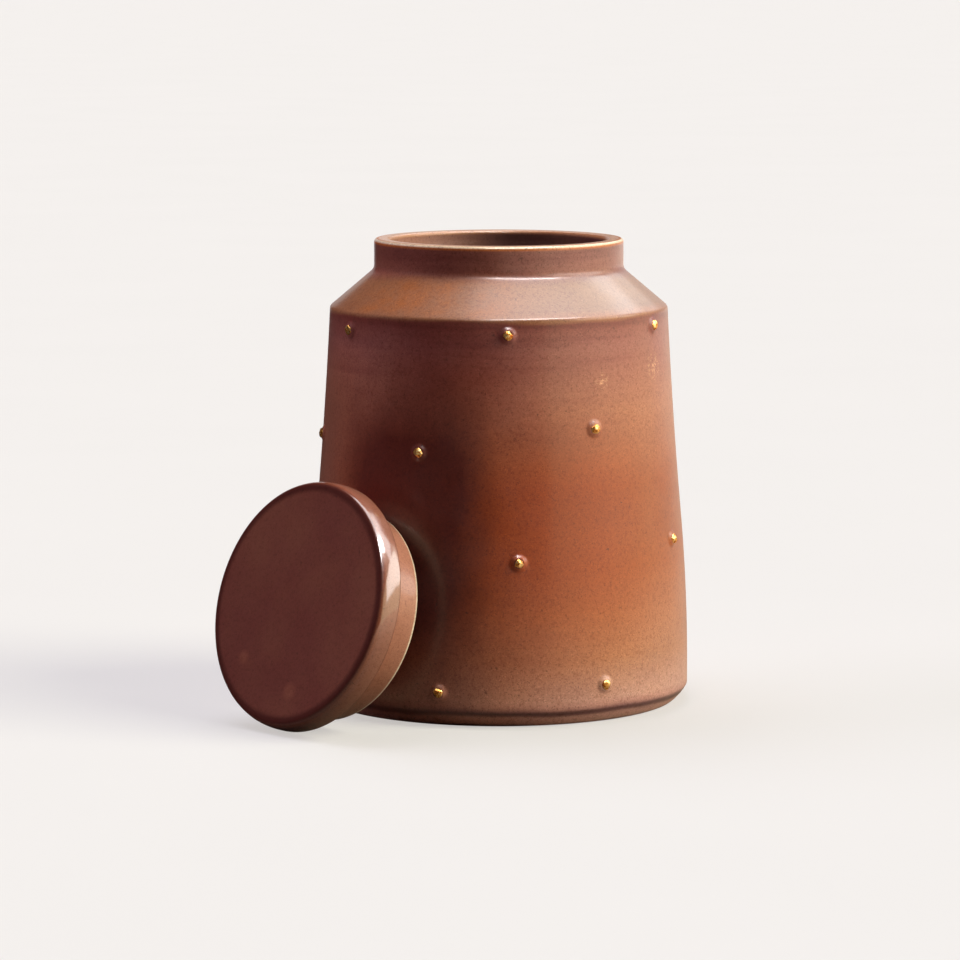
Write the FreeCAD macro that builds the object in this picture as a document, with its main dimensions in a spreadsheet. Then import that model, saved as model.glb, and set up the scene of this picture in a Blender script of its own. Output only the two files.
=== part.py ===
import FreeCAD, Part
import math
import os
import Sketcher

# Stoneware fermenting crock: a thrown jar whose wall widens from a sharp shoulder down to its foot,
# with a short upright collar, gold-tipped studs in four staggered rows, a loose lid with a deep
# flange that stands on its edge and leans on the jar, and two half-moon weights on the jar's floor.
# Millimetres, +Z up. The origin is the centre of the jar's base, on the surface it stands on.
# A bearing is the angle about +Z from the front (-Y), positive towards the right (+X).

Vector = FreeCAD.Vector
UP = Vector(0, 0, 1)

DIMENSIONS = {
    # the jar, outside
    "jar_height": (230.0, "base to rim"),
    "base_radius": (88.0, "flat that the jar stands on"),
    "foot_radius": (94.7, "widest place, just above the bevelled foot"),
    "foot_height": (7.5, "top of the bevel round the foot"),
    "bevel_sweep": (16.0, "radius of the bevel's slight fullness"),
    "waist_radius": (91.0, "wall where its hollow sweep turns full"),
    "waist_height": (95.0, "height of that turn"),
    "shoulder_radius": (84.0, "wall at the shoulder's edge"),
    "shoulder_height": (196.4, "shoulder's edge"),
    "collar_radius": (62.0, "outside of the collar"),
    "collar_height": (215.0, "where the shoulder's slope meets the collar"),
    "upper_sweep": (2400.0, "radius of the wall's hollow sweep above the waist"),
    "lower_sweep": (850.0, "radius of the wall's full sweep below the waist"),
    # the jar, inside
    "wall": (8.0, "thickness of the collar"),
    "floor": (9.0, "thickness of the floor"),
    "cavity_foot": (85.4, "inside radius just above the floor"),
    "cavity_foot_height": (24.0, "height of that place"),
    "cavity_shoulder": (76.2, "inside radius under the shoulder"),
    "cavity_shoulder_height": (191.0, "height of that place"),
    "neck_height": (209.5, "lower end of the collar's upright inner wall"),
    # softened edges of the jar
    "shoulder_round": (3.4, "shoulder's edge"),
    "collar_round": (5.0, "hollow between shoulder and collar"),
    "rim_round": (2.0, "both edges of the rim"),
    "foot_round": (0.9, "edges of the foot's bevel"),
    "cavity_round": (7.0, "corners of the cavity"),
    "groove_inner": (70.0, "turned groove under the base, inner radius"),
    "groove_outer": (79.0, "turned groove under the base, outer radius"),
    "groove_depth": (1.6, "depth of that groove"),
    # the lid, from its flange's end to its face
    "band_radius": (60.8, "band round the lid's disc"),
    "band_upright": (5.5, "height of the band's upright part"),
    "band_height": (11.2, "underside of the disc to its face"),
    "edge_sweep": (8.8, "round between band and face"),
    "face_radius": (58.6, "where that round reaches the face"),
    "flange_radius": (51.5, "outside of the flange, loose in the collar"),
    "flange_depth": (20.6, "length of the flange below the disc"),
    "flange_wall": (6.0, "thickness of the flange"),
    "disc_thickness": (8.0, "thickness of the disc over the hollow"),
    "band_soft": (0.8, "small edges of the lid's band"),
    "flange_soft": (1.6, "edges of the flange's end"),
    "hollow_soft": (3.0, "corner inside the lid's hollow"),
    # how the lid leans
    "lean_tilt": (17.0, "degrees that the face looks up"),
    "lean_facing": (-47.1, "bearing that the face looks along"),
    "lean_bearing": (-45.0, "bearing of the flange's end from the jar's axis"),
    "lean_reach": (105.6, "distance of the flange's end from the jar's axis"),
    # the weights
    "weight_radius": (72.0, "outside radius of the pair"),
    "weight_gap": (1.5, "half of the gap between the two"),
    "weight_height": (16.0, "thickness"),
    "grip_radius": (14.0, "finger hole that the pair leaves in the middle"),
    "weight_round": (2.0, "edges of a weight"),
    # the studs
    "stud_root": (4.1, "radius of a stud at its sunk end"),
    "stud_top": (2.7, "radius of a stud's flat top"),
    "stud_height": (1.1, "height of a stud above the wall"),
    "stud_sink": (0.7, "depth that a stud is pressed into the wall"),
    "bead_ball": (2.45, "radius of the ball that a gold bead is the top of"),
    "bead_cut": (20.0, "degrees above that ball's equator where the bead is cut flat"),
}

# Studs: for each row its name and, stud by stud, the bearing in degrees and the height.
# They were set by eye, so they are nearly, but not quite, evenly spaced.
STUD_ROWS = (
    ("row_1", ((-59, 188), (3, 189), (63, 190), (121, 189), (178, 188), (-119, 189))),
    ("row_2", ((-81, 134), (-26, 132), (32, 143), (104, 138), (160, 135), (-141, 139))),
    ("row_3", ((-54, 82), (6, 80), (68, 84), (126, 81), (-174, 83), (-116, 80))),
    ("row_4", ((-80, 19), (-18, 17), (33, 19), (105, 18), (161, 17), (-142, 18))),
)

doc = FreeCAD.newDocument("fermenting_crock")


def make_sheet():
    """Spreadsheet of driving dimensions: name, value under an alias, meaning."""
    sheet = doc.addObject("Spreadsheet::Sheet", "dims")
    for row, (alias, (value, meaning)) in enumerate(DIMENSIONS.items(), start=1):
        sheet.set(f"A{row}", alias)
        sheet.set(f"B{row}", str(value))
        sheet.setAlias(f"B{row}", alias)
        sheet.set(f"C{row}", meaning)
    doc.recompute()
    return sheet


dims = make_sheet()


def size(alias):
    """Value of one driving dimension."""
    return float(dims.get(alias))


def heading(bearing):
    """Horizontal unit vector along a bearing in degrees."""
    angle = math.radians(bearing)
    return Vector(math.sin(angle), -math.cos(angle), 0)


# ---------------------------------------------------------------- sketches

def new_sketch(body, name, plane):
    """Empty sketch of a body, attached to that body's own origin plane."""
    sketch = body.newObject("Sketcher::SketchObject", name)
    base = next(item for item in body.Origin.OriginFeatures if item.Role == plane)
    sketch.AttachmentSupport = [(base, "")]
    sketch.MapMode = "FlatFace"
    return sketch


def make_arc(start, end, radius, side):
    """Shorter arc between two points. Going from start to end it bulges to the right (side +1,
    anticlockwise) or to the left (side -1). A sketch keeps every arc anticlockwise."""
    way = end - start
    left = Vector(-way.y, way.x, 0).normalize()
    offset = math.sqrt(radius ** 2 - (way.Length / 2) ** 2)
    centre = (start + end) / 2 + left * offset * side
    first, last = (start, end) if side > 0 else (end, start)
    angles = [math.atan2(point.y - centre.y, point.x - centre.x) for point in (first, last)]
    return Part.ArcOfCircle(Part.Circle(centre, UP, radius), *angles)


def bind(sketch, kind, place, expression):
    """Dimension in a sketch, driven by an expression of the sheet's aliases."""
    value = float(sketch.evalExpression(expression))
    index = sketch.addConstraint(Sketcher.Constraint(kind, *place, value))
    sketch.setExpression(f"Constraints[{index}]", expression)


def draw_outline(sketch, corners, arcs=None):
    """Closed outline through corners, each a pair of expressions ("0" is on the axis).

    arcs gives, for an edge's number, its radius as an expression and its side (see make_arc).
    Every other edge is a straight line.
    """
    arcs = arcs or {}
    points = [Vector(*(float(sketch.evalExpression(part)) for part in pair), 0) for pair in corners]
    ends = []
    for edge, start in enumerate(points):
        end = points[(edge + 1) % len(points)]
        if edge in arcs:
            radius, side = arcs[edge]
            curve = make_arc(start, end, float(sketch.evalExpression(radius)), side)
            ends.append((1, 2) if side > 0 else (2, 1))
        else:
            curve = Part.LineSegment(start, end)
            ends.append((1, 2))
        sketch.addGeometry(curve, False)
    for edge, (across, up) in enumerate(corners):
        before = edge - 1 if edge else len(corners) - 1
        place = (edge, ends[edge][0])
        sketch.addConstraint(Sketcher.Constraint("Coincident", before, ends[before][1], *place))
        for kind, axis, expression in (("DistanceX", -2, across), ("DistanceY", -1, up)):
            if expression == "0":
                sketch.addConstraint(Sketcher.Constraint("PointOnObject", *place, axis))
            else:
                bind(sketch, kind, place, expression)
    for edge, (radius, _side) in arcs.items():
        bind(sketch, "Radius", (edge,), radius)


def turn_profile(body, name, kind, corners, arcs=None):
    """Revolution or groove of an outline about the body's upright axis."""
    sketch = new_sketch(body, name + "_outline", "XZ_Plane")
    draw_outline(sketch, corners, arcs)
    feature = body.newObject("PartDesign::" + kind, name)
    feature.Profile = sketch
    feature.ReferenceAxis = (sketch, ["V_Axis"])
    feature.Angle = 360.0
    doc.recompute()


def ring_edges(shape, places):
    """Names of the circular edges at the given places, each a radius and a height."""
    names = []
    for radius, height in places:
        for number, edge in enumerate(shape.Edges, start=1):
            curve = edge.Curve
            if not isinstance(curve, Part.Circle) or not edge.isClosed():
                continue
            if abs(curve.Radius - radius) < 0.01 and abs(curve.Center.z - height) < 0.01:
                names.append(f"Edge{number}")
    assert len(names) == len(places), f"edges at {places}: found {names}"
    return names


def soften(body, name, radius, places):
    """Fillet of a body's circular edges, its radius driven by one alias."""
    base = body.Tip
    feature = body.newObject("PartDesign::Fillet", name)
    feature.Base = (base, ring_edges(base.Shape, places))
    feature.setExpression("Radius", f"dims.{radius}")
    doc.recompute()


# ---------------------------------------------------------------- jar

def make_thrown_jar():
    """The jar without its studs: outside turned, cavity and base groove cut, edges softened."""
    body = doc.addObject("PartDesign::Body", "thrown_jar")
    outside = (
        ("0", "0"),
        ("dims.base_radius", "0"),
        ("dims.foot_radius", "dims.foot_height"),
        ("dims.waist_radius", "dims.waist_height"),
        ("dims.shoulder_radius", "dims.shoulder_height"),
        ("dims.collar_radius", "dims.collar_height"),
        ("dims.collar_radius", "dims.jar_height"),
        ("0", "dims.jar_height"),
    )
    sweeps = {
        1: ("dims.bevel_sweep", 1),
        2: ("dims.lower_sweep", 1),
        3: ("dims.upper_sweep", -1),
    }
    turn_profile(body, "outside", "Revolution", outside, sweeps)
    solid = body.Shape.Volume

    cavity = (
        ("0", "dims.floor"),
        ("dims.cavity_foot", "dims.floor"),
        ("dims.cavity_foot", "dims.cavity_foot_height"),
        ("dims.cavity_shoulder", "dims.cavity_shoulder_height"),
        ("dims.collar_radius - dims.wall", "dims.neck_height"),
        ("dims.collar_radius - dims.wall", "dims.jar_height"),
        ("0", "dims.jar_height"),
    )
    turn_profile(body, "cavity", "Groove", cavity)
    hollow = body.Shape.Volume
    assert hollow < 0.5 * solid, "the cavity cut nothing"

    ring = (
        ("dims.groove_inner", "0"),
        ("dims.groove_outer", "0"),
        ("dims.groove_outer - dims.groove_depth", "dims.groove_depth"),
        ("dims.groove_inner + dims.groove_depth", "dims.groove_depth"),
    )
    turn_profile(body, "base_groove", "Groove", ring)
    assert body.Shape.Volume < hollow, "the base groove cut nothing"

    bore = size("collar_radius") - size("wall")
    top = size("jar_height")
    soften(body, "soft_shoulder", "shoulder_round", [(size("shoulder_radius"), size("shoulder_height"))])
    soften(body, "soft_collar", "collar_round", [(size("collar_radius"), size("collar_height"))])
    soften(body, "soft_rim", "rim_round", [(size("collar_radius"), top), (bore, top)])
    soften(body, "soft_foot", "foot_round",
           [(size("base_radius"), 0), (size("foot_radius"), size("foot_height"))])
    soften(body, "soft_cavity", "cavity_round",
           [(size("cavity_foot"), size("floor")),
            (size("cavity_shoulder"), size("cavity_shoulder_height")),
            (bore, size("neck_height"))])
    return body


def wall_spot(bearing, height):
    """Point of the jar's outer wall at a bearing and height, and the wall's outward direction."""
    outline = doc.getObject("outside_outline").Geometry
    _bevel, lower, upper = (piece for piece in outline if isinstance(piece, Part.ArcOfCircle))
    arc, side = (lower, 1) if height < size("waist_height") else (upper, -1)
    rise = height - arc.Center.y
    reach = arc.Center.x + side * math.sqrt(arc.Radius ** 2 - rise ** 2)
    slope = Vector(reach - arc.Center.x, rise, 0).normalize() * side
    outward = heading(bearing) * slope.x + UP * slope.y
    return heading(bearing) * reach + UP * height, outward


def make_studs():
    """Clay studs pressed into the wall, and the gold bead on each one's flat top."""
    studs = []
    beads = []
    for row, places in STUD_ROWS:
        for number, (bearing, height) in enumerate(places, start=1):
            spot, outward = wall_spot(bearing, height)
            turn = FreeCAD.Rotation(UP, outward)

            stud = doc.addObject("Part::Cone", f"stud_{row}_{number}")
            stud.setExpression("Radius1", "dims.stud_root")
            stud.setExpression("Radius2", "dims.stud_top")
            stud.setExpression("Height", "dims.stud_sink + dims.stud_height")
            stud.Placement = FreeCAD.Placement(spot - outward * size("stud_sink"), turn)
            studs.append(stud)

            bead = doc.addObject("Part::Sphere", f"gold_bead_{row}_{number}")
            bead.setExpression("Radius", "dims.bead_ball")
            bead.setExpression("Angle1", "dims.bead_cut")
            flat = size("bead_ball") * math.sin(math.radians(size("bead_cut")))
            lift = size("stud_height") - flat
            bead.Placement = FreeCAD.Placement(spot + outward * lift, turn)
            beads.append(bead)
    return studs, beads


def make_jar():
    """The whole jar and its gold beads."""
    thrown = make_thrown_jar()
    studs, beads = make_studs()
    jar = doc.addObject("Part::MultiFuse", "crock_body")
    jar.Shapes = [thrown] + studs
    jar.Placement = FreeCAD.Placement()
    doc.recompute()
    return jar, beads


# ---------------------------------------------------------------- lid

def lean_height(shape, outward):
    """Height of the flange's end that makes a lid turned to face outward just touch the ground."""
    turned = shape.copy()
    turned.Placement = FreeCAD.Placement(Vector(), FreeCAD.Rotation(UP, outward))
    return -turned.optimalBoundingBox().ZMin


def make_lid():
    """Flat disc with a rounded edge and, under it, a deep hollow flange. It stands on the lower
    edge of its band, face outwards, with the flange's end against the jar's wall."""
    body = doc.addObject("PartDesign::Body", "lid")
    outside = (
        ("0", "0"),
        ("dims.flange_radius", "0"),
        ("dims.flange_radius", "dims.flange_depth"),
        ("dims.band_radius", "dims.flange_depth"),
        ("dims.band_radius", "dims.flange_depth + dims.band_upright"),
        ("dims.face_radius", "dims.flange_depth + dims.band_height"),
        ("0", "dims.flange_depth + dims.band_height"),
    )
    turn_profile(body, "lid_outside", "Revolution", outside, {4: ("dims.edge_sweep", 1)})
    solid = body.Shape.Volume

    hollow = (
        ("0", "0"),
        ("dims.flange_radius - dims.flange_wall", "0"),
        ("dims.flange_radius - dims.flange_wall",
         "dims.flange_depth + dims.band_height - dims.disc_thickness"),
        ("0", "dims.flange_depth + dims.band_height - dims.disc_thickness"),
    )
    turn_profile(body, "lid_hollow", "Groove", hollow)
    assert body.Shape.Volume < 0.8 * solid, "the hollow cut nothing"

    inside = size("flange_radius") - size("flange_wall")
    seat = size("flange_depth")
    face = seat + size("band_height")
    soften(body, "soft_band", "band_soft", [(size("band_radius"), seat), (size("face_radius"), face)])
    soften(body, "soft_flange", "flange_soft", [(size("flange_radius"), 0), (inside, 0)])
    soften(body, "soft_hollow", "hollow_soft", [(inside, face - size("disc_thickness"))])

    tilt = math.radians(size("lean_tilt"))
    outward = heading(size("lean_facing")) * math.cos(tilt) + UP * math.sin(tilt)
    height = lean_height(body.Shape, outward)
    spot = heading(size("lean_bearing")) * size("lean_reach") + UP * height
    body.Placement = FreeCAD.Placement(spot, FreeCAD.Rotation(UP, outward))
    return body


# ---------------------------------------------------------------- weights

def make_weight(name, turn):
    """Half-moon slab with a half finger hole in its straight side, lying on the jar's floor."""
    body = doc.addObject("PartDesign::Body", name)
    sketch = new_sketch(body, name + "_outline", "XY_Plane")
    rim = "sqrt(dims.weight_radius^2 - dims.weight_gap^2)"
    grip = "sqrt(dims.grip_radius^2 - dims.weight_gap^2)"
    corners = (
        ("dims.weight_gap", f"-{rim}"),
        ("dims.weight_gap", rim),
        ("dims.weight_gap", grip),
        ("dims.weight_gap", f"-{grip}"),
    )
    draw_outline(sketch, corners, {0: ("dims.weight_radius", 1), 2: ("dims.grip_radius", -1)})
    slab = body.newObject("PartDesign::Pad", name + "_slab")
    slab.Profile = sketch
    slab.setExpression("Length", "dims.weight_height")
    doc.recompute()
    edges = body.newObject("PartDesign::Fillet", name + "_soft")
    flat = [f"Edge{number}" for number, edge in enumerate(slab.Shape.Edges, start=1)
            if edge.BoundBox.ZLength < 0.01]
    edges.Base = (slab, flat)
    edges.setExpression("Radius", "dims.weight_round")
    doc.recompute()
    body.Placement = FreeCAD.Placement(UP * size("floor"), FreeCAD.Rotation(UP, turn))
    return body


# ---------------------------------------------------------------- check and write

def write_steps(parts):
    """Stop if any object failed; otherwise write each sub-part to parts/LABEL.step."""
    doc.recompute()
    for item in doc.Objects:
        bad = {"Invalid", "Error"} & set(item.State)
        assert not bad, f"{item.Label}: {item.State}"
    for part in parts:
        assert not part.Shape.isNull() and part.Shape.isValid(), f"{part.Label}: bad shape"
        assert len(part.Shape.Solids) == 1, f"{part.Label}: {len(part.Shape.Solids)} solids"
    os.makedirs("parts", exist_ok=True)
    for part in parts:
        part.Shape.exportStep(f"parts/{part.Label}.step")
        box = part.Shape.optimalBoundingBox()
        print(f"{part.Label:22} {part.Shape.Volume / 1000:9.2f} cm3   "
              f"z {box.ZMin:7.2f} to {box.ZMax:7.2f}")


crock_body, gold_beads = make_jar()
lid = make_lid()
weights = [make_weight("weight_half_right", 0), make_weight("weight_half_left", 180)]
write_steps([crock_body, lid] + weights + gold_beads)
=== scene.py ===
import math
import random

import bmesh
import bpy
from mathutils import Matrix, Vector, noise


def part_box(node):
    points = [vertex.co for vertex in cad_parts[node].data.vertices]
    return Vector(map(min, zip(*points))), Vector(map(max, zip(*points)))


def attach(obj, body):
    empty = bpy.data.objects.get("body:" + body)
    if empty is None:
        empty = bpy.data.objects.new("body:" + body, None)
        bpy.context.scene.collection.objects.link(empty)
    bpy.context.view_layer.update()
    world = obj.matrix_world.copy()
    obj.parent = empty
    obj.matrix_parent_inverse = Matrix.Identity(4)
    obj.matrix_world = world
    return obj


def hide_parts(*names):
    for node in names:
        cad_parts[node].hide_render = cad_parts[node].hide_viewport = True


# Looks of a stoneware fermenting crock: the thrown jar with its studs, the gold drops on them,
# the flanged lid that leans on the jar, and the two half-moon weights inside.
# Metres, +Z up, the front towards -Y. A bearing is the angle about +Z from the front,
# positive towards the right. Outlines are in millimetres, because that is how a potter's
# measures read; MM turns them into metres.

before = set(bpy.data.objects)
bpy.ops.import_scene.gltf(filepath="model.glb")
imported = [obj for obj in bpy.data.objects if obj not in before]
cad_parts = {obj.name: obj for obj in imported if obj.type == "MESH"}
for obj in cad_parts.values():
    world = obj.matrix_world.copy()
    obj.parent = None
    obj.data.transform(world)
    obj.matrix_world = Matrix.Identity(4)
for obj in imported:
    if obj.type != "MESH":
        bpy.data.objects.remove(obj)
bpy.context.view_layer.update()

MM = 0.001

# ---------------------------------------------------------------- outlines

# An outline's corner: radius, height, how softly it is rounded, and how far the run that
# follows it swells to the right of its direction of travel (negative: hollow).
JAR_UNDERSIDE = (
    (0.0, 0.0, 0.0, 0.0),
    (70.0, 0.0, 0.5, 0.0),
    (71.6, 1.6, 0.5, 0.0),
    (77.4, 1.6, 0.5, 0.0),
    (79.0, 0.0, 0.5, 0.0),
    (88.0, 0.0, 0.9, 0.6),
)
JAR_OUTSIDE = (
    (94.7, 7.5, 1.1, 1.1),
    (91.0, 95.0, 20.0, -0.5),
    (84.0, 196.4, 2.6, 0.0),
    (62.0, 215.0, 5.0, 0.0),
    (62.0, 230.0, 2.0, 0.0),
)
JAR_INSIDE = (
    (54.0, 230.0, 2.0, 0.0),
    (54.0, 209.5, 7.0, 0.0),
    (76.2, 191.0, 7.0, 0.0),
    (85.4, 24.0, 3.0, 0.0),
    (85.4, 9.0, 7.0, 0.0),
    (0.0, 9.0, 0.0, 0.0),
)
# The lid's own axis is Z, its flange ends at 0 and its face looks up.
LID_FLANGE = (
    (0.0, 23.8, 0.0, 0.0),
    (45.5, 23.8, 3.0, 0.0),
    (45.5, 0.0, 1.6, 0.0),
    (51.5, 0.0, 1.6, 0.0),
    (51.5, 20.6, 0.4, 0.0),
)
LID_DISC = (
    (60.8, 20.6, 0.8, 0.0),
    (60.8, 26.1, 13.0, 0.3),
    (58.6, 31.8, 2.2, 0.0),
    (0.0, 31.8, 0.0, 0.0),
)
# The leaning lid's face: its bearing, and how far it looks up. Degrees.
LEAN_FACING = -47.1
LEAN_TILT = 17.0

RINGS_APART = 1.95
BENDS_APART = 0.8
PLAIN_DISC_APART = 8.0
SEGMENTS = 256


def run_point(start, end, swell, t):
    """Point at share t of a run between two corners, moved out by the run's swell."""
    across, up = end[0] - start[0], end[1] - start[1]
    length = math.hypot(across, up)
    out = 4 * swell * t * (1 - t) / length
    return (start[0] + across * t + up * out, start[1] + up * t - across * out)


def soft_reach(before, corner, after):
    """How far from a corner its rounding begins."""
    turn = math.atan2(after[1] - corner[1], after[0] - corner[0])
    turn -= math.atan2(corner[1] - before[1], corner[0] - before[0])
    turn = abs((turn + math.pi) % (2 * math.pi) - math.pi)
    return corner[2] * math.tan(turn / 2)


def outline_points(corners, disc_apart=RINGS_APART):
    """Points along an outline, each with the number of the run that it ends. Level runs that
    meet the axis are plain discs and can have their points farther apart."""
    reach = [0.0]
    for before, corner, after in zip(corners, corners[1:], corners[2:]):
        reach.append(soft_reach(before, corner, after))
    reach.append(0.0)
    points = [(corners[0][:2], 0)]
    for number, (start, end) in enumerate(zip(corners, corners[1:])):
        length = math.dist(start[:2], end[:2])
        first, last = reach[number] / length, 1 - reach[number + 1] / length
        disc = start[1] == end[1] and 0.0 in (start[0], end[0])
        apart = disc_apart if disc else RINGS_APART
        steps = max(2, math.ceil((last - first) * length / apart))
        for step in range(1, steps + 1):
            t = first + (last - first) * step / steps
            points.append((run_point(start, end, start[3], t), number))
        if reach[number + 1]:
            leave = points[-1][0]
            follow = corners[number + 2]
            t = reach[number + 1] / math.dist(end[:2], follow[:2])
            arrive = run_point(end, follow, end[3], t)
            bends = max(4, math.ceil(2 * reach[number + 1] / BENDS_APART))
            for bend in range(1, bends + 1):
                s = bend / bends
                weights = ((1 - s) ** 2, 2 * s * (1 - s), s ** 2)
                point = tuple(sum(w * p[axis] for w, p in zip(weights, (leave, end, arrive)))
                              for axis in (0, 1))
                points.append((point, number if s <= 0.5 else number + 1))
    return points


def lathe(points):
    """Surface turned from an outline that starts and ends on the axis. The material number of
    each face is its run's number, for the caller to change."""
    mesh = bmesh.new()
    rings = []
    for (radius, height), _run in points:
        if radius < 1e-6:
            rings.append([mesh.verts.new((0, 0, height * MM))] * SEGMENTS)
            continue
        ring = []
        for step in range(SEGMENTS):
            angle = 2 * math.pi * step / SEGMENTS
            ring.append(mesh.verts.new((radius * MM * math.cos(angle),
                                        radius * MM * math.sin(angle), height * MM)))
        rings.append(ring)
    for (low, high), (_point, run) in zip(zip(rings, rings[1:]), points[1:]):
        for step in range(SEGMENTS):
            corners = []
            after = (step + 1) % SEGMENTS
            for vert in (low[step], low[after], high[after], high[step]):
                if vert not in corners:
                    corners.append(vert)
            face = mesh.faces.new(corners)
            face.material_index = run
            face.smooth = True
    return mesh


def to_object(name, mesh, materials):
    """Turn a bmesh into an object with its materials."""
    data = bpy.data.meshes.new(name)
    mesh.normal_update()
    mesh.to_mesh(data)
    mesh.free()
    obj = bpy.data.objects.new(name, data)
    bpy.context.scene.collection.objects.link(obj)
    for material in materials:
        data.materials.append(material)
    return obj


def bearing_vector(bearing, elevation):
    """Direction of a bearing and elevation, both in degrees."""
    bearing, elevation = math.radians(bearing), math.radians(elevation)
    return Vector((math.sin(bearing) * math.cos(elevation),
                   -math.cos(bearing) * math.cos(elevation), math.sin(elevation)))


# ---------------------------------------------------------------- materials

def rgb(red, green, blue):
    return (red, green, blue, 1.0)


class Nodes:
    """A material's node tree with short ways to add to it."""

    def __init__(self, name):
        self.material = bpy.data.materials.new(name)
        self.material.use_nodes = True
        self.tree = self.material.node_tree
        self.shader = self.tree.nodes["Principled BSDF"]
        self.place = self.add("ShaderNodeTexCoord").outputs["Object"]

    def add(self, kind, **settings):
        node = self.tree.nodes.new(kind)
        for key, value in settings.items():
            setattr(node, key, value)
        return node

    def feed(self, value, socket):
        """Give a socket a number, a colour or another node's output."""
        if isinstance(value, bpy.types.NodeSocket):
            self.tree.links.new(value, socket)
        else:
            socket.default_value = value

    def math(self, operation, first, second=0.0):
        node = self.add("ShaderNodeMath", operation=operation)
        self.feed(first, node.inputs[0])
        self.feed(second, node.inputs[1])
        return node.outputs[0]

    def noise(self, scale, detail=3.0, roughness=0.55, where=None):
        node = self.add("ShaderNodeTexNoise")
        self.feed(where or self.place, node.inputs["Vector"])
        node.inputs["Scale"].default_value = scale
        node.inputs["Detail"].default_value = detail
        node.inputs["Roughness"].default_value = roughness
        return node.outputs["Fac"]

    def ramp(self, value, stops):
        """Colour ramp from (position, colour) stops."""
        node = self.add("ShaderNodeValToRGB")
        ramp = node.color_ramp
        while len(ramp.elements) < len(stops):
            ramp.elements.new(1.0)
        for element, (position, colour) in zip(ramp.elements, stops):
            element.position = position
            element.color = colour
        self.feed(value, node.inputs[0])
        return node.outputs[0]

    def span(self, value, low, high, out_low=0.0, out_high=1.0):
        """A value's range mapped to another, clamped."""
        node = self.add("ShaderNodeMapRange")
        self.feed(value, node.inputs["Value"])
        for name, number in (("From Min", low), ("From Max", high),
                             ("To Min", out_low), ("To Max", out_high)):
            node.inputs[name].default_value = number
        return node.outputs[0]

    def mix(self, share, first, second, blend="MIX"):
        node = self.add("ShaderNodeMix", data_type="RGBA", blend_type=blend)
        self.feed(share, node.inputs["Factor"])
        self.feed(first, node.inputs["A"])
        self.feed(second, node.inputs["B"])
        return node.outputs["Result"]

    def within(self, value, rise, fall):
        """One inside a range: it comes up over the rise and goes down over the fall."""
        return self.math("MULTIPLY", self.span(value, *rise), self.span(value, *fall))

    def patch(self, way, cosines, heights):
        """One on the side that faces a way and between some heights. It comes up over the cosines,
        and it comes up or goes down over each pair of heights."""
        share = self.span(self.facing(way), *cosines)
        for start, end in heights:
            share = self.math("MULTIPLY", share, self.span(self.axis(2), start, end))
        return share

    def axis(self, number):
        node = self.add("ShaderNodeSeparateXYZ")
        self.feed(self.place, node.inputs[0])
        return node.outputs[number]

    def radius(self):
        """Distance of the place from the upright axis."""
        node = self.add("ShaderNodeVectorMath", operation="MULTIPLY")
        self.feed(self.place, node.inputs[0])
        node.inputs[1].default_value = (1, 1, 0)
        length = self.add("ShaderNodeVectorMath", operation="LENGTH")
        self.feed(node.outputs[0], length.inputs[0])
        return length.outputs["Value"]

    def facing(self, way):
        """Cosine of the angle about the upright axis between the place and a way."""
        along = self.math("ADD", self.math("MULTIPLY", self.axis(0), way.x),
                          self.math("MULTIPLY", self.axis(1), way.y))
        return self.math("DIVIDE", along, self.radius())

    def apart(self, point):
        """Distance of the place from a point."""
        node = self.add("ShaderNodeVectorMath", operation="DISTANCE")
        self.feed(self.place, node.inputs[0])
        node.inputs[1].default_value = point
        return node.outputs["Value"]

    def rim_corner(self, radius):
        """Distance from the rim's rounded corner at a radius, where the glaze thins and shows
        orange, and where a painted highlight runs along the outer corner.
        """
        across = self.math("POWER", self.math("SUBTRACT", self.radius(), radius), 2.0)
        up = self.math("POWER", self.math("SUBTRACT", self.axis(2), RIM_CORNER_HEIGHT), 2.0)
        return self.math("SQRT", self.math("ADD", across, up))

    def stretched(self, scale):
        """The place with its axes scaled, for streaks that run round the piece."""
        node = self.add("ShaderNodeMapping")
        self.feed(self.place, node.inputs["Vector"])
        node.inputs["Scale"].default_value = scale
        return node.outputs[0]

    def moved(self, matrix):
        """The place in the frame that a matrix gives."""
        node = self.add("ShaderNodeMapping", vector_type="TEXTURE")
        self.feed(self.place, node.inputs["Vector"])
        node.inputs["Location"].default_value = matrix.to_translation()
        node.inputs["Rotation"].default_value = matrix.to_euler()
        return node.outputs[0]

    def bump(self, height, strength, distance):
        node = self.add("ShaderNodeBump")
        node.inputs["Strength"].default_value = strength
        node.inputs["Distance"].default_value = distance
        self.feed(height, node.inputs["Height"])
        self.feed(node.outputs[0], self.shader.inputs["Normal"])


SPECK_DARK = rgb(0.045, 0.012, 0.010)
JAR_ROUGH = 0.40
LINING_ROUGH = 0.36
LID_ROUGH = 0.34
LID_COAT_ROUGH = 0.12
GLAZE_UNEVEN = 0.05
CLAY_UNEVEN = 0.35
BUMP_DEPTH = 0.0006


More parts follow.
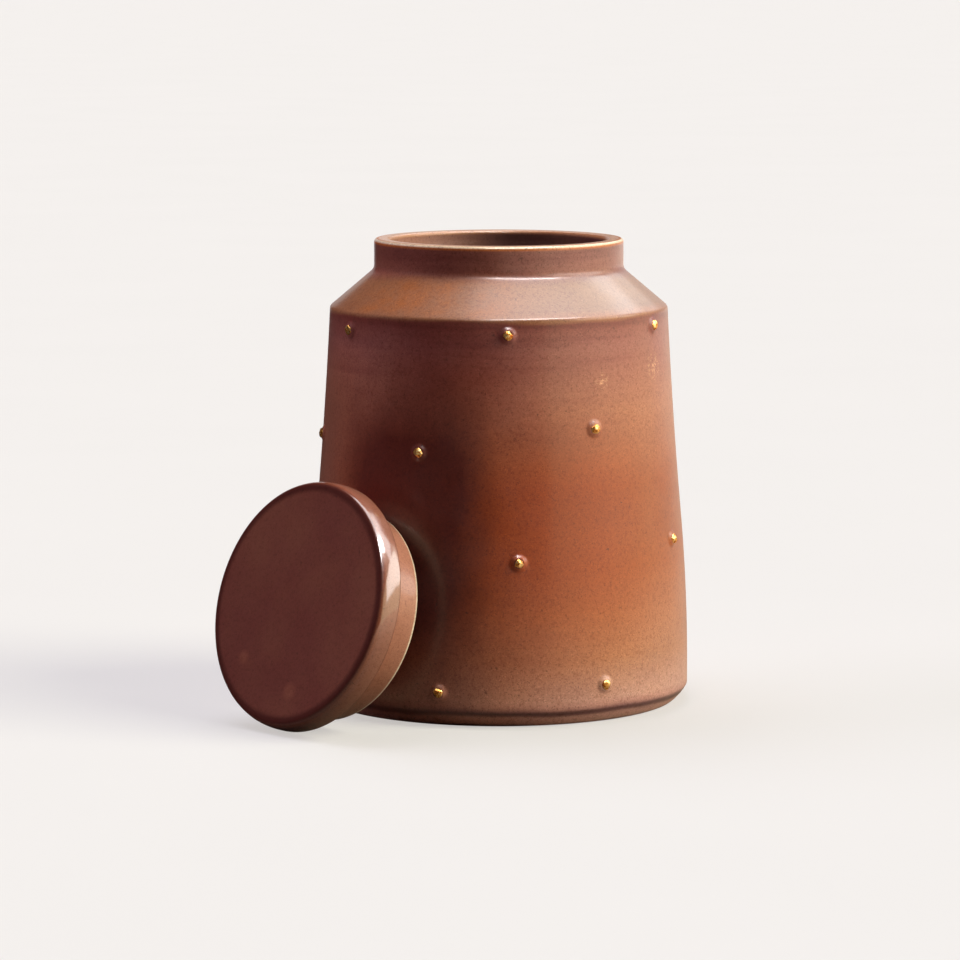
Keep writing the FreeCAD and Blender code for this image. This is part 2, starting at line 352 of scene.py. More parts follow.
def speckle(nodes, colour, dark, pale):
    """Iron specks and pale grains, a fraction of a millimetre to a millimetre across. The dark
    and the pale ones cover the colour by the shares given."""
    fine = nodes.noise(1500.0, 2.0, 0.6)
    colour = nodes.mix(nodes.span(fine, 0.56, 0.70, 0.0, dark), colour, SPECK_DARK)
    mottle = nodes.span(nodes.noise(560.0, 3.0, 0.7), 0.50, 0.66, 0.0, 1.3 * dark)
    colour = nodes.mix(mottle, colour, rgb(0.68, 0.56, 0.54), "MULTIPLY")
    grain = nodes.noise(1150.0, 2.0, 0.6, nodes.stretched((1.0, 1.0, 1.13)))
    grain = nodes.span(grain, 0.56, 0.72, 0.0, pale)
    colour = nodes.mix(grain, colour, rgb(2.0, 2.3, 2.4), "MULTIPLY")
    sparse = nodes.noise(420.0, 1.0, 0.4)
    return nodes.mix(nodes.span(sparse, 0.76, 0.80, 0.0, 0.55), colour, SPECK_DARK)


def glaze_finish(nodes, roughness):
    """Satin glaze: a rough glass with a thin smoother skin, and faint unevenness."""
    cloud = nodes.noise(45.0, 3.0)
    nodes.feed(nodes.span(cloud, 0.3, 0.7, roughness - 0.05, roughness + 0.07),
               nodes.shader.inputs["Roughness"])
    nodes.shader.inputs["IOR"].default_value = 1.5
    nodes.shader.inputs["Coat Weight"].default_value = 0.6
    nodes.shader.inputs["Coat Roughness"].default_value = 0.20
    nodes.shader.inputs["Coat IOR"].default_value = 1.5
    broad = nodes.math("MULTIPLY", nodes.noise(120.0), 2.0)
    nodes.bump(nodes.math("ADD", nodes.noise(900.0, 3.0), broad), GLAZE_UNEVEN, BUMP_DEPTH)


HALO = "stud_halo"
JAR_TOP = 0.230
JAR_BANDS = (
    # height in millimetres, colour of the glaze there
    (0.0, rgb(0.24, 0.080, 0.050)),
    (1.0, rgb(0.62, 0.27, 0.23)),
    (4.3, rgb(0.60, 0.25, 0.22)),
    (5.7, rgb(0.12, 0.034, 0.040)),
    (6.9, rgb(0.12, 0.034, 0.040)),
    (9.4, rgb(0.50, 0.200, 0.165)),
    (12.5, rgb(0.58, 0.250, 0.200)),
    (32.0, rgb(0.45, 0.145, 0.085)),
    (75.0, rgb(0.365, 0.076, 0.022)),
    (115.0, rgb(0.355, 0.074, 0.020)),
    (155.0, rgb(0.43, 0.142, 0.095)),
    (183.0, rgb(0.33, 0.104, 0.092)),
    (190.0, rgb(0.30, 0.086, 0.074)),
    (194.2, rgb(0.21, 0.040, 0.034)),
    (195.8, rgb(0.36, 0.140, 0.070)),
    (211.0, rgb(0.41, 0.160, 0.075)),
    (214.6, rgb(0.34, 0.112, 0.080)),
    (217.5, rgb(0.28, 0.085, 0.067)),
    (230.0, rgb(0.28, 0.085, 0.067)),
)


# The way that the side with the painted sheen faces.
SHEEN_WAY = Vector((0.80, -0.60))
# A patch of glaze: the way its side of the jar faces, the cosines that it comes up over, and the
# pairs of heights, in metres, that it comes up or goes down over.
# Painted shade low on the front left, where the lid shades the wall and the wall turns from the
# window; and the way that it ends towards the right.
SHADE_PATCH = (Vector((-0.574, -0.819)), (0.80, 0.95), ((0.205, 0.125), (-0.04, 0.06)))
SHADE_PATCH_END = (Vector((0.342, -0.940)), (0.02, 0.46), ())
TOASTED = (Vector((-0.50, -0.866)), (0.80, 0.96), ((0.1955, 0.199), (0.216, 0.211)))
# A tint: a patch, its colour and how the colour is laid.
TINTS_UNDER_SHADE_PATCH = (
    # the warm lower front
    (Vector((0.30, -0.954)), (0.80, 0.96), ((0.010, 0.055), (0.160, 0.122)),
     rgb(0.98, 0.76, 0.50), "MULTIPLY"),
    # darker, duller glaze on the left: painted shade on the side away from the window
    (Vector((-1.0, 0.0)), (0.72, 0.93), ((0.02, 0.07), (0.18, 0.15)),
     rgb(0.30, 0.100, 0.066), "MIX"),
)
TINTS_OVER_SHADE_PATCH = (
    # painted shade on the upper front, where the wall turns from the window
    (Vector((-0.20, -0.980)), (0.90, 0.98), ((0.130, 0.170), (0.1945, 0.192)),
     rgb(0.86, 0.66, 0.66), "MULTIPLY"),
    # painted sheen: glaze paler and whiter towards the right, where the window lights it: on the
    # wall, low on the wall, on the shoulder, on the collar
    (SHEEN_WAY, (0.75, 0.97), ((0.010, 0.030), (0.180, 0.150)), rgb(1.02, 1.13, 1.07), "MULTIPLY"),
    (SHEEN_WAY, (0.62, 0.95), ((0.110, 0.015),), rgb(1.08, 1.30, 1.48), "MULTIPLY"),
    (SHEEN_WAY, (0.62, 0.98), ((0.197, 0.200), (0.217, 0.214)), rgb(0.78, 0.95, 1.08), "MULTIPLY"),
    (SHEEN_WAY, (0.60, 0.90), ((0.214, 0.218),), rgb(1.08, 1.32, 1.55), "MULTIPLY"),
)
# Scuffs: their place and reach, in metres.
SCUFFS = ((0.0765, -0.0395, 0.170, 0.0085), (0.0500, -0.0700, 0.166, 0.0050))
RIM_OUTER = 0.0614
RIM_INNER = 0.0546
RIM_CORNER_HEIGHT = 0.2295


def jar_glaze():
    """The jar's outer glaze: bands by height, clouds, thrown streaks, painted shade low on the
    front left where the lid shades the wall and the wall turns from the window, and painted sheen
    towards the right."""
    nodes = Nodes("jar_glaze")
    height = nodes.axis(2)
    drift = nodes.noise(14.0, 2.0, where=nodes.stretched((1, 1, 0.4)))
    drift = nodes.span(drift, 0.3, 0.7, -0.0012, 0.0012)
    level = nodes.math("DIVIDE", nodes.math("ADD", height, drift), JAR_TOP)
    colour = nodes.ramp(level, [(mm * MM / JAR_TOP, stop) for mm, stop in JAR_BANDS])
    cloud = nodes.span(nodes.noise(16.0, 4.0, 0.6), 0.46, 0.72, 0.0, 0.45)
    colour = nodes.mix(cloud, colour, rgb(1.18, 1.25, 1.25), "MULTIPLY")
    plum = nodes.noise(11.0, 4.0, 0.6, nodes.stretched((1.0, 1.0, 2.2)))
    plum = nodes.span(plum, 0.50, 0.76, 0.0, 0.50)
    colour = nodes.mix(plum, colour, rgb(0.62, 0.60, 0.80), "MULTIPLY")
    streak = nodes.noise(3.0, 5.0, 0.65, nodes.stretched((1.0, 1.0, 22.0)))
    streak = nodes.span(streak, 0.45, 0.75, 0.0, 0.35)
    colour = nodes.mix(streak, colour, rgb(1.25, 1.45, 1.50), "MULTIPLY")
    brushed = nodes.noise(5.0, 4.0, 0.6, nodes.stretched((1.0, 1.0, 16.0)))
    below_shoulder = nodes.within(height, (0.150, 0.168), (0.1940, 0.1925))
    collar = nodes.span(height, 0.2150, 0.2175)
    brushed = nodes.math("MULTIPLY", nodes.span(brushed, 0.46, 0.62, 0.0, 0.75),
                         nodes.math("ADD", below_shoulder, collar))
    colour = nodes.mix(brushed, colour, rgb(0.70, 0.56, 0.60), "MULTIPLY")

    for *where, tint, blend in TINTS_UNDER_SHADE_PATCH:
        colour = nodes.mix(nodes.patch(*where), colour, tint, blend)
    # Painted shade on the front left, with a ragged edge, redder near the foot.
    ragged = nodes.noise(19.0, 5.0, 0.6, nodes.stretched((1.0, 1.0, 0.7)))
    ragged = nodes.span(ragged, 0.3, 0.7, -0.22, 0.22)
    shade_patch = nodes.math("MULTIPLY", nodes.patch(*SHADE_PATCH), nodes.patch(*SHADE_PATCH_END))
    shade_patch = nodes.span(nodes.math("ADD", shade_patch, ragged), 0.22, 0.84, 0.0, 0.96)
    deep = nodes.mix(nodes.span(height, 0.075, 0.03), rgb(0.122, 0.0170, 0.0125),
                     rgb(0.160, 0.0200, 0.0180))
    colour = nodes.mix(shade_patch, colour, deep)
    for *where, tint, blend in TINTS_OVER_SHADE_PATCH:
        colour = nodes.mix(nodes.patch(*where), colour, tint, blend)
    toasted = nodes.math("MULTIPLY", nodes.span(nodes.noise(45.0, 5.0, 0.65), 0.40, 0.60, 0.0, 0.9),
                         nodes.patch(*TOASTED))
    colour = nodes.mix(toasted, colour, rgb(0.46, 0.135, 0.030))
    rub = nodes.noise(420.0, 3.0, 0.7, nodes.stretched((1.0, 1.0, 2.0)))
    for x, y, z, reach in SCUFFS:
        near = nodes.span(nodes.apart((x, y, z)), reach, 0.3 * reach)
        rubbed = nodes.math("MULTIPLY", near, nodes.span(rub, 0.50, 0.62, 0.0, 0.7))
        colour = nodes.mix(rubbed, colour, rgb(0.80, 0.42, 0.27))
    corner = nodes.rim_corner(RIM_OUTER)
    # The rim: its flat top painted pale, partly glaze running thin and partly painted highlight; an
    # orange line where the glaze breaks at the outer corner; and on that corner a cream line, a
    # painted highlight.
    colour = nodes.mix(nodes.span(height, 0.2290, 0.2297), colour, rgb(0.74, 0.45, 0.37))
    colour = nodes.mix(nodes.span(corner, 0.0022, 0.0012), colour, rgb(0.55, 0.15, 0.035))
    colour = nodes.mix(nodes.span(corner, 0.0010, 0.0005), colour, rgb(0.88, 0.68, 0.54))
    halo = nodes.add("ShaderNodeAttribute", attribute_name=HALO).outputs["Fac"]
    thinned = nodes.span(halo, 0.35, 0.70, 0.0, 0.45)
    colour = nodes.mix(thinned, colour, rgb(1.6, 1.9, 2.0), "MULTIPLY")
    # Painted shadow: a dark ring where the bead sits on its stud.
    colour = nodes.mix(nodes.span(halo, 0.58, 0.64, 0.0, 0.8), colour, rgb(0.10, 0.022, 0.012))
    colour = speckle(nodes, colour, 0.55, 0.30)
    nodes.feed(colour, nodes.shader.inputs["Base Color"])
    glaze_finish(nodes, JAR_ROUGH)
    return nodes.material


def jar_lining():
    """Glaze inside the jar, plum, painted paler towards the left where the window's light falls in,
    and darker to the right as painted shade.
    """
    nodes = Nodes("jar_lining")
    cloud = nodes.noise(14.0, 4.0, 0.6, nodes.stretched((1.0, 1.0, 3.0)))
    colour = nodes.ramp(cloud, [(0.35, rgb(0.085, 0.028, 0.032)),
                                (0.6, rgb(0.11, 0.036, 0.038)),
                                (0.75, rgb(0.15, 0.055, 0.050))])
    # Painted light on the left inside, where the window's light falls in.
    left = nodes.span(nodes.facing(Vector((-1.0, 0.0))), -0.1, 0.9)
    colour = nodes.mix(left, colour, rgb(0.48, 0.235, 0.21))
    corner = nodes.rim_corner(RIM_INNER)
    colour = nodes.mix(nodes.span(corner, 0.0020, 0.0008), colour, rgb(0.52, 0.22, 0.11))
    colour = speckle(nodes, colour, 0.4, 0.15)
    nodes.feed(colour, nodes.shader.inputs["Base Color"])
    glaze_finish(nodes, LINING_ROUGH)
    return nodes.material


def bare_clay(name, tint):
    """Unglazed stoneware: matt, grainy, with iron specks and rubbed patches."""
    nodes = Nodes(name)
    cloud = nodes.noise(22.0, 4.0, 0.6)
    pale = tuple(min(1.0, channel * 1.22) for channel in tint)
    deep = tuple(channel * 0.74 for channel in tint)
    colour = nodes.ramp(cloud, [(0.32, rgb(*deep)), (0.5, rgb(*tint)), (0.70, rgb(*pale))])
    grog = nodes.noise(700.0, 3.0, 0.7)
    colour = nodes.mix(nodes.span(grog, 0.60, 0.72, 0.0, 0.5), colour, rgb(0.10, 0.055, 0.035))
    colour = nodes.mix(nodes.span(grog, 0.40, 0.27, 0.0, 0.4), colour, rgb(0.80, 0.68, 0.52))
    nodes.feed(colour, nodes.shader.inputs["Base Color"])
    nodes.feed(nodes.span(grog, 0.3, 0.7, 0.78, 0.92), nodes.shader.inputs["Roughness"])
    nodes.bump(grog, CLAY_UNEVEN, BUMP_DEPTH)
    return nodes.material


LID_BANDS = (
    # height above the flange's end in millimetres, colour of the glaze there
    # the flange's pale end: a painted highlight along its rounded edge
    (0.0, rgb(0.95, 0.84, 0.78)),
    (1.1, rgb(0.95, 0.84, 0.78)),
    (1.9, rgb(0.45, 0.195, 0.150)),
    (18.8, rgb(0.45, 0.190, 0.145)),
    # the ledge under the band, near black: painted shade
    (19.8, rgb(0.12, 0.020, 0.015)),
    (20.9, rgb(0.12, 0.020, 0.015)),
    (21.6, rgb(0.34, 0.135, 0.105)),
    (28.8, rgb(0.34, 0.125, 0.095)),
    # orange where the glaze thins over the face's corner, darkened next to the face as painted
    # shade
    (29.8, rgb(0.36, 0.105, 0.060)),
    (30.4, rgb(0.24, 0.055, 0.030)),
    (31.2, rgb(0.20, 0.045, 0.028)),
    (31.7, rgb(0.205, 0.050, 0.038)),
    (32.0, rgb(0.205, 0.050, 0.038)),
)
LID_TOP = 0.032
# Faint spots on the face: their place in the lid's own frame, and their reach. Metres.
LID_KISSES = ((-0.0418, 0.0009, 0.0042), (-0.0246, -0.0352, 0.0052))


def lid_glaze(name, matrix, coat, coat_ior):
    """The lid's glaze, laid out in the lid's own frame, with a coat as glossy as asked."""
    nodes = Nodes(name)
    nodes.place = nodes.moved(matrix)
    height = nodes.axis(2)
    level = nodes.math("DIVIDE", height, LID_TOP)
    colour = nodes.ramp(level, [(mm * MM / LID_TOP, stop) for mm, stop in LID_BANDS])
    cloud = nodes.noise(20.0, 4.0, 0.6)
    colour = nodes.mix(nodes.span(cloud, 0.40, 0.66, 0.0, 0.45), colour, rgb(0.29, 0.096, 0.052))
    # Painted shade: a dark ring round the face's edge.
    ring = nodes.math("MULTIPLY", nodes.within(nodes.radius(), (0.0540, 0.0562), (0.0592, 0.0582)),
                      nodes.span(height, 0.0308, 0.0313))
    colour = nodes.mix(ring, colour, rgb(0.10, 0.018, 0.014))
    for x, y, reach in LID_KISSES:
        kiss = nodes.span(nodes.apart((x, y, LID_TOP)), reach, 0.4 * reach, 0.0, 0.45)
        colour = nodes.mix(kiss, colour, rgb(0.40, 0.125, 0.070))
    colour = speckle(nodes, colour, 0.4, 0.18)
    nodes.feed(colour, nodes.shader.inputs["Base Color"])
    glaze_finish(nodes, LID_ROUGH)
    nodes.shader.inputs["Coat Weight"].default_value = coat
    nodes.shader.inputs["Coat IOR"].default_value = coat_ior
    nodes.shader.inputs["Coat Roughness"].default_value = LID_COAT_ROUGH
    return nodes.material


def gold_lustre():
    nodes = Nodes("gold_lustre")
    patch = nodes.noise(700.0, 3.0, 0.6)
    colour = nodes.ramp(patch, [(0.38, rgb(0.50, 0.13, 0.02)), (0.50, rgb(1.0, 0.50, 0.12)),
                                (0.62, rgb(1.0, 0.74, 0.36))])
    nodes.feed(colour, nodes.shader.inputs["Base Color"])
    nodes.shader.inputs["Metallic"].default_value = 0.8
    nodes.feed(nodes.span(patch, 0.3, 0.7, 0.24, 0.42), nodes.shader.inputs["Roughness"])
    nodes.bump(nodes.noise(2200.0, 2.0), 0.25, 0.0003)
    return nodes.material


# ---------------------------------------------------------------- jar

STUD_RISE = 1.15 * MM
STUD_FLAT = 2.1 * MM
STUD_SKIRT = 4.9 * MM
HALO_REACH = 6.4 * MM
FOOT_GROOVE = 2.0 * MM
# Material numbers on the jar's mesh.
OUTSIDE, INSIDE, BARE = 0, 1, 2


def wall_radius(height):
    """Radius of the jar's outer wall at a height, from its outline. Metres."""
    for start, end in zip(JAR_OUTSIDE, JAR_OUTSIDE[1:]):
        t = (height / MM - start[1]) / (end[1] - start[1])
        if 0 <= t <= 1:
            return run_point(start, end, start[3], t)[0] * MM
    raise ValueError(f"no wall at {height}")


def stud_spot(node):
    """Where a bead's stud stands on the wall, and the wall's outward direction there."""
    low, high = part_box(node)
    middle = (low + high) / 2
    out = Vector((middle.x, middle.y, 0)).normalized()
    slope = (wall_radius(middle.z + MM) - wall_radius(middle.z - MM)) / (2 * MM)
    normal = (out - Vector((0, 0, slope))).normalized()
    height = middle.z - normal.z * STUD_RISE
    return out * wall_radius(height) + Vector((0, 0, height)), normal


RIPPLE_PITCH = 7.5 * MM
RIPPLE_INSIDE = 0.28
RIPPLE_OUTSIDE = 0.022
UNROUND = 0.12


def throw_marks(place, inside):
    """How far the surface lies behind its true outline: finger ripples that climb round the
    piece, and a wheel-thrown pot's slight unroundness. Never positive."""
    turn = math.atan2(place.y, place.x) / (2 * math.pi)
    climb = place.z / RIPPLE_PITCH - turn
    swell = noise.noise(Vector((turn * 1.5, 3.1, place.z * 30)))
    ripple = 0.5 + 0.5 * math.sin(2 * math.pi * climb + 2.0 * swell)
    oval = 0.5 + 0.5 * math.cos(4 * math.pi * turn + 0.8 + place.z * 4)
    depth = RIPPLE_INSIDE if inside else RIPPLE_OUTSIDE + 0.015 * swell
    return -(depth * ripple + UNROUND * oval) * MM


def make_jar(beads):
    """The thrown jar: glazed outside and inside, bare underneath, with a stud for each bead."""
    corners = JAR_UNDERSIDE + JAR_OUTSIDE + JAR_INSIDE
    first_outside = len(JAR_UNDERSIDE) - 1
    first_inside = len(JAR_UNDERSIDE) + len(JAR_OUTSIDE)
    mesh = lathe(outline_points(corners, PLAIN_DISC_APART))
    for face in mesh.faces:
        run = face.material_index
        if run < first_outside:
            face.material_index = BARE
        else:
            face.material_index = INSIDE if run >= first_inside else OUTSIDE

    spots = [stud_spot(node) for node in beads]
    halo = mesh.verts.layers.float.new(HALO)
    for spot, _normal in spots:
        near = {vert for vert in mesh.verts if (vert.co - spot).length < HALO_REACH}
        edges = [edge for edge in mesh.edges
                 if edge.verts[0] in near and edge.verts[1] in near]
        bmesh.ops.subdivide_edges(mesh, edges=edges, cuts=3, use_grid_fill=True)

    for vert in mesh.verts:
        flat = Vector((vert.co.x, vert.co.y, 0))
        if flat.length < MM:
            continue
        inside = any(face.material_index == INSIDE for face in vert.link_faces)
        if vert.co.z > FOOT_GROOVE:
            vert.co += flat.normalized() * throw_marks(vert.co, inside)
    for spot, normal in spots:
        for vert in mesh.verts:
            away = vert.co - spot
            if away.length > HALO_REACH:
                continue
            away -= normal * away.dot(normal)
            fall = min(1.0, max(0.0, (away.length - STUD_FLAT) / (STUD_SKIRT - STUD_FLAT)))
            vert.co += normal * STUD_RISE * (0.5 + 0.5 * math.cos(math.pi * fall))
            vert[halo] = max(0.0, 1 - away.length / HALO_REACH)
    foot = bare_clay("foot_clay", (0.42, 0.27, 0.18))
    return to_object("thrown_jar", mesh, [jar_glaze(), jar_lining(), foot])


# ---------------------------------------------------------------- gold beads

BEAD_WIDE = 2.65 * MM
BEAD_TALL = 1.75 * MM
BEAD_SUNK = 0.25 * MM
BEAD_FLATS = 6


def make_bead(node, material, draw):
    """Lumpy gold drop on a stud: a ball with flats pressed into it and soft bumps."""
    spot, normal = stud_spot(node)
    mesh = bmesh.new()
    bmesh.ops.create_icosphere(mesh, subdivisions=4, radius=1.0)
    flats = []
    for _flat in range(BEAD_FLATS):
        direction = Vector((draw.uniform(-1, 1), draw.uniform(-1, 1), draw.uniform(0.1, 1.2)))
        flats.append((direction.normalized(), draw.uniform(0.70, 0.88)))
    shift = Vector([draw.uniform(-9, 9) for _axis in range(3)])
    for vert in mesh.verts:
        place = vert.co.copy()
        for direction, level in flats:
            over = place.dot(direction) - level
            if over > 0:
                place -= direction * over * 0.85
        place *= 0.93 + 0.07 * noise.noise(place * 2.6 + shift)
        vert.co = Vector((place.x * BEAD_WIDE, place.y * BEAD_WIDE, place.z * BEAD_TALL))
    for face in mesh.faces:
        face.smooth = True
    turn = normal.to_track_quat("Z", "Y").to_matrix().to_4x4()
    lift = STUD_RISE - BEAD_SUNK
    mesh.transform(Matrix.Translation(spot + normal * lift) @ turn)
    return to_object(node.replace("gold_bead", "gold_drop"), mesh, [material])


# ---------------------------------------------------------------- lid

LID_BAND_RUNS = (5, 6)


def make_lid():
    """The lid, turned in its own frame and then leant as the frame's lid leans: glossy glaze on
    its band, dull glaze elsewhere."""
    mesh = lathe(outline_points(LID_FLANGE + LID_DISC))
    for face in mesh.faces:
        face.material_index = 0 if face.material_index in LID_BAND_RUNS else 1
    for vert in mesh.verts:
        flat = Vector((vert.co.x, vert.co.y, 0))
        if flat.length > MM:
            bearing = math.atan2(vert.co.y, vert.co.x)
            oval = 0.5 + 0.5 * math.cos(2 * bearing + 1.0)
            vert.co -= flat.normalized() * 0.10 * MM * oval
        if vert.co.z > 31 * MM:
            rings = 0.5 + 0.5 * math.sin(flat.length / (9 * MM) * 2 * math.pi)
            vert.co.z -= 0.012 * MM * rings
    outward = bearing_vector(LEAN_FACING, LEAN_TILT)
    turn = Vector((0, 0, 1)).rotation_difference(outward).to_matrix().to_4x4()
    mesh.transform(turn)
    low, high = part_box("lid")
    for axis in range(3):
        values = [vert.co[axis] for vert in mesh.verts]
        turn.translation[axis] = (low[axis] + high[axis]) / 2 - (min(values) + max(values)) / 2
    mesh.transform(Matrix.Translation(turn.to_translation()))
    glazes = [lid_glaze("lid_glaze", turn, 1.0, 1.9), lid_glaze("lid_dull_glaze", turn, 0.5, 1.4)]
    return to_object("leaning_lid", mesh, glazes)


# ---------------------------------------------------------------- weights

WEIGHT_GRIP = 14.0 * MM
WEIGHT_SOFT = 2.2 * MM
OUTER_STEPS = 120
GRIP_STEPS = 30
STRAIGHT_STEPS = 20
SOFT_STEPS = 6


def make_weight(node, side, material, draw):
    """Half-moon slab with a half finger hole: side is 1 for the right half, -1 for the left."""
    low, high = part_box(node)
    radius = (high.y - low.y) / 2
    gap = low.x if side > 0 else -high.x
    outer_end = math.acos(gap / radius)
    grip_end = math.acos(gap / WEIGHT_GRIP)
    outline = []
    for step in range(OUTER_STEPS + 1):
        angle = -outer_end + 2 * outer_end * step / OUTER_STEPS
        outline.append(Vector((radius * math.cos(angle), radius * math.sin(angle), 0)))
    top, bottom = outline[-1], outline[0]
    hole_top = Vector((gap, WEIGHT_GRIP * math.sin(grip_end), 0))
    hole_bottom = Vector((gap, -WEIGHT_GRIP * math.sin(grip_end), 0))
    shares = [step / STRAIGHT_STEPS for step in range(1, STRAIGHT_STEPS)]
    outline += [top.lerp(hole_top, share) for share in shares]
    for step in range(GRIP_STEPS + 1):
        angle = grip_end - 2 * grip_end * step / GRIP_STEPS
        outline.append(Vector((WEIGHT_GRIP * math.cos(angle), WEIGHT_GRIP * math.sin(angle), 0)))
    outline += [hole_bottom.lerp(bottom, share) for share in shares]

    # Each level of the slab: how far in from the outline, and how high.
    thick = high.z - low.z
    levels = []
    for step in range(SOFT_STEPS + 1):
        angle = math.pi / 2 * step / SOFT_STEPS
        levels.append((WEIGHT_SOFT * (1 - math.sin(angle)), WEIGHT_SOFT * (1 - math.cos(angle))))
    levels += [(inset, thick - rise) for inset, rise in reversed(levels)]
    count = len(outline)
    inward = []
    for number, point in enumerate(outline):
        along = outline[(number + 1) % count] - outline[number - 1]
        inward.append(Vector((-along.y, along.x, 0)).normalized())
    mesh = bmesh.new()
    rings = []
    for inset, rise in levels:
        ring = []
        for point, normal in zip(outline, inward):
            place = point + normal * inset
            place.x *= side
            place.z = low.z + rise
            inwards = Vector((normal.x * side, normal.y, 0))
            dent = 1 - noise.noise(place * 90 + Vector((draw, 0, 0)))
            ring.append(mesh.verts.new(place + inwards * 0.15 * MM * dent))
        rings.append(ring)
    for below, above in zip(rings, rings[1:]):
        for number in range(count):
            after = (number + 1) % count
            mesh.faces.new((below[number], below[after], above[after], above[number]))
    mesh.faces.new(list(reversed(rings[0])))
    mesh.faces.new(rings[-1])
    bmesh.ops.recalc_face_normals(mesh, faces=mesh.faces)
    for face in mesh.faces:
        face.smooth = len(face.verts) == 4
    return to_object(node.replace("weight_half", "half_moon"), mesh, [material])


# ---------------------------------------------------------------- stage, light, camera

PAPER = rgb(0.913, 0.871, 0.839)
FLOOR_GLOW = 0.58
FLOOR_TINT = rgb(0.300, 0.305, 0.360)
FLOOR_DIM = rgb(0.035, 0.028, 0.028)
FLOOR_BRIGHT = rgb(0.60, 0.50, 0.46)
AMBIENT = rgb(0.012, 0.008, 0.009)
FLOOR_DROP = 0.0002
FLOOR_HALF = 60.0


def make_floor():
    """Pale floor. It shines a little to the camera, so that shadows on it stay faint. On the
    piece it throws back light mostly from its right, where the window would light it."""
    mesh = bmesh.new()
    bmesh.ops.create_grid(mesh, x_segments=8, y_segments=8, size=FLOOR_HALF)
    nodes = Nodes("floor_paper")
    camera = nodes.add("ShaderNodeLightPath").outputs["Is Camera Ray"]
    grain = nodes.span(nodes.noise(4.0, 2.0), 0.3, 0.7, 0.985, 1.0)
    shade = nodes.add("ShaderNodeBsdfDiffuse")
    bounce = nodes.mix(nodes.span(nodes.axis(0), -0.15, 0.30), FLOOR_DIM, FLOOR_BRIGHT)
    nodes.feed(nodes.mix(camera, bounce, FLOOR_TINT), shade.inputs["Color"])
    glow = nodes.add("ShaderNodeEmission")
    glow.inputs["Color"].default_value = PAPER
    shown = nodes.math("MULTIPLY", nodes.math("MULTIPLY", camera, FLOOR_GLOW), grain)
    nodes.feed(shown, glow.inputs["Strength"])
    both = nodes.add("ShaderNodeAddShader")
    nodes.feed(shade.outputs[0], both.inputs[0])
    nodes.feed(glow.outputs[0], both.inputs[1])
    output = nodes.tree.nodes["Material Output"]
    nodes.tree.nodes.remove(nodes.shader)
    nodes.feed(both.outputs[0], output.inputs["Surface"])
    floor = to_object("floor", mesh, [nodes.material])
    floor.location.z = -FLOOR_DROP


CARD_AWAY = 2.6
WHITE = (1.0, 1.0, 1.0)
WARM = (1.0, 0.96, 0.62)
ROSE = (1.0, 0.84, 0.86)
SUNS = (
    # name, bearing, elevation, spread, strength, colour
    ("key", 75, 38, 34, 3.0, WARM),
    ("low_key", 76, 8, 24, 0.75, WARM),
    ("fill", -97, 22, 50, 1.4, ROSE),
    ("top", -160, 65, 50, 1.7, WHITE),
)
CARDS = (
    # name, bearing, elevation, width, height, radiance, colour
    ("window", 78, 16, 5.4, 1.8, 1.1, WARM),
    ("window_pane", 80, 24, 2.8, 1.0, 3.3, WHITE),
    ("glint", 34, 64, 2.3, 0.6, 24.0, WHITE),
    ("rear_card", 148, 6, 2.4, 1.6, 0.5, WHITE),
    ("rear_high_card", 148, 34, 1.5, 1.2, 1.6, WHITE),
    ("high_card", 118, 66, 2.6, 3.0, 3.1, WHITE),
    ("left_edge", -170, 2, 0.8, 1.2, 0.5, WHITE),
)


def make_sun(name, bearing, elevation, spread, strength, colour):
    """Even soft light from a bearing and elevation, with no shine of its own on the glaze."""
    data = bpy.data.lights.new(name, "SUN")
    data.energy = strength
    data.angle = math.radians(spread)
    data.color = colour
    light = bpy.data.objects.new(name, data)
    towards = bearing_vector(bearing, elevation)
    light.rotation_euler = towards.to_track_quat("Z", "Y").to_euler()
    light.location = towards * 3
    light.visible_camera = False
    light.visible_glossy = False
    bpy.context.scene.collection.objects.link(light)


def make_card(name, bearing, elevation, width, height, radiance, colour):
    """Bright rectangle far from the piece, only for the reflections in its glaze."""
    data = bpy.data.lights.new(name, "AREA")
    data.shape = "RECTANGLE"
    data.size = width
    data.size_y = height
    data.energy = radiance * math.pi * width * height
    data.color = colour
    light = bpy.data.objects.new(name, data)
    towards = bearing_vector(bearing, elevation)
    light.rotation_euler = towards.to_track_quat("Z", "Y").to_euler()
    light.location = towards * CARD_AWAY + Vector((0, 0, 0.1))
    light.visible_camera = False
    light.visible_diffuse = False
    bpy.context.scene.collection.objects.link(light)


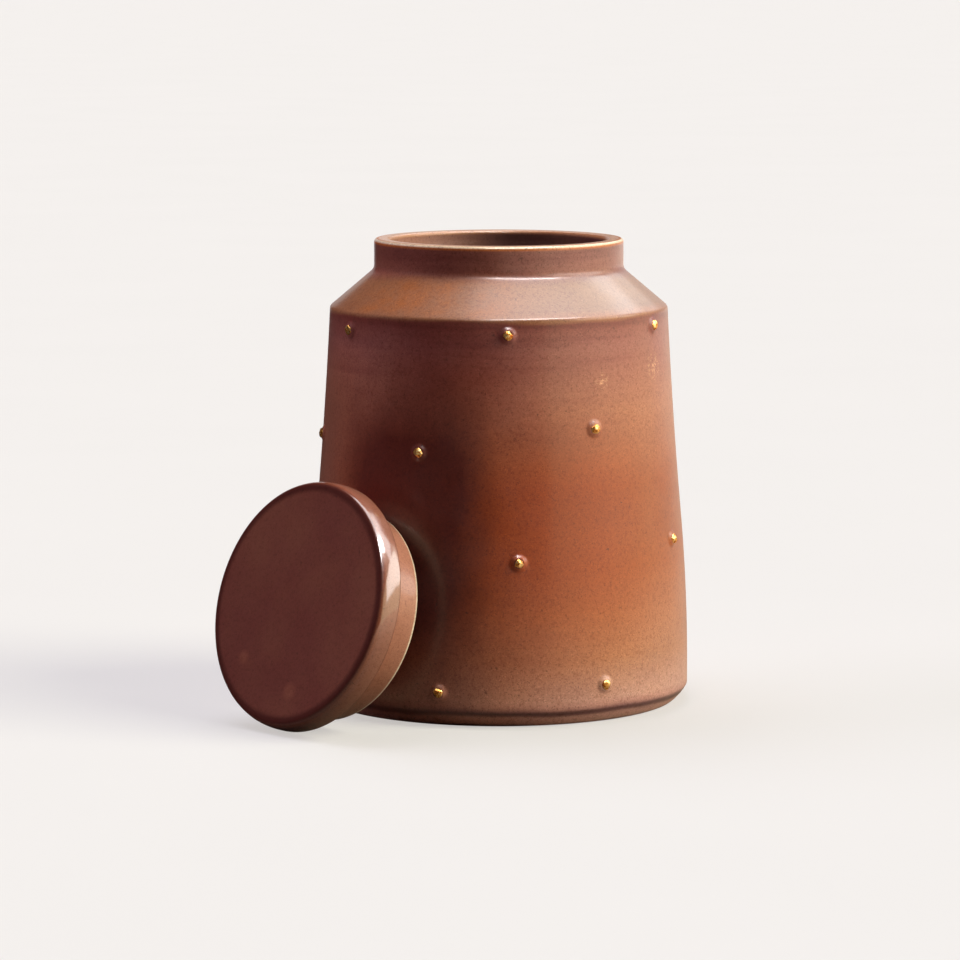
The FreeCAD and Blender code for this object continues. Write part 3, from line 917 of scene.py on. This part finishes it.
def make_world():
    """Pale behind everything for the camera, dim for the piece."""
    world = bpy.data.worlds.new("studio")
    bpy.context.scene.world = world
    world.use_nodes = True
    nodes = world.node_tree.nodes
    links = world.node_tree.links
    dim = nodes["Background"]
    dim.inputs["Color"].default_value = AMBIENT
    pale = nodes.new("ShaderNodeBackground")
    pale.inputs["Color"].default_value = PAPER
    pick = nodes.new("ShaderNodeMixShader")
    links.new(nodes.new("ShaderNodeLightPath").outputs["Is Camera Ray"], pick.inputs[0])
    links.new(dim.outputs[0], pick.inputs[1])
    links.new(pale.outputs[0], pick.inputs[2])
    links.new(pick.outputs[0], nodes["World Output"].inputs["Surface"])


CAMERA_PLACE = (0.0, -2.116, 0.379)
CAMERA_PITCH = math.radians(7.117)
CAMERA_LENS = 159.94
CAMERA_SHIFT = (-0.0196, -0.0126)


def make_camera():
    data = bpy.data.cameras.new("camera")
    data.lens = CAMERA_LENS
    data.sensor_width = 36.0
    data.shift_x, data.shift_y = CAMERA_SHIFT
    data.clip_end = 200
    camera = bpy.data.objects.new("camera", data)
    camera.location = CAMERA_PLACE
    camera.rotation_euler = (math.pi / 2 - CAMERA_PITCH, 0, 0)
    bpy.context.scene.collection.objects.link(camera)
    bpy.context.scene.camera = camera
    bpy.context.scene.view_settings.view_transform = "Standard"


# ---------------------------------------------------------------- the whole piece

bead_nodes = sorted(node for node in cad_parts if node.startswith("gold_bead"))

jar = make_jar(bead_nodes)
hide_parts("crock_body")
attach(jar, "jar")

gold = gold_lustre()
draw_bead = random.Random(5)
for bead_node in bead_nodes:
    drop = make_bead(bead_node, gold, draw_bead)
    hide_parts(bead_node)
    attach(drop, "jar")

lid = make_lid()
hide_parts("lid")
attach(lid, "lid")

weight_clay = bare_clay("weight_clay", (0.56, 0.42, 0.30))
for weight_node, body, side in (("weight_half_right", "weight_right", 1),
                                ("weight_half_left", "weight_left", -1)):
    weight = make_weight(weight_node, side, weight_clay, side * 3.0)
    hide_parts(weight_node)
    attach(weight, body)

make_floor()
make_world()
for sun in SUNS:
    make_sun(*sun)
for card in CARDS:
    make_card(*card)
make_camera()
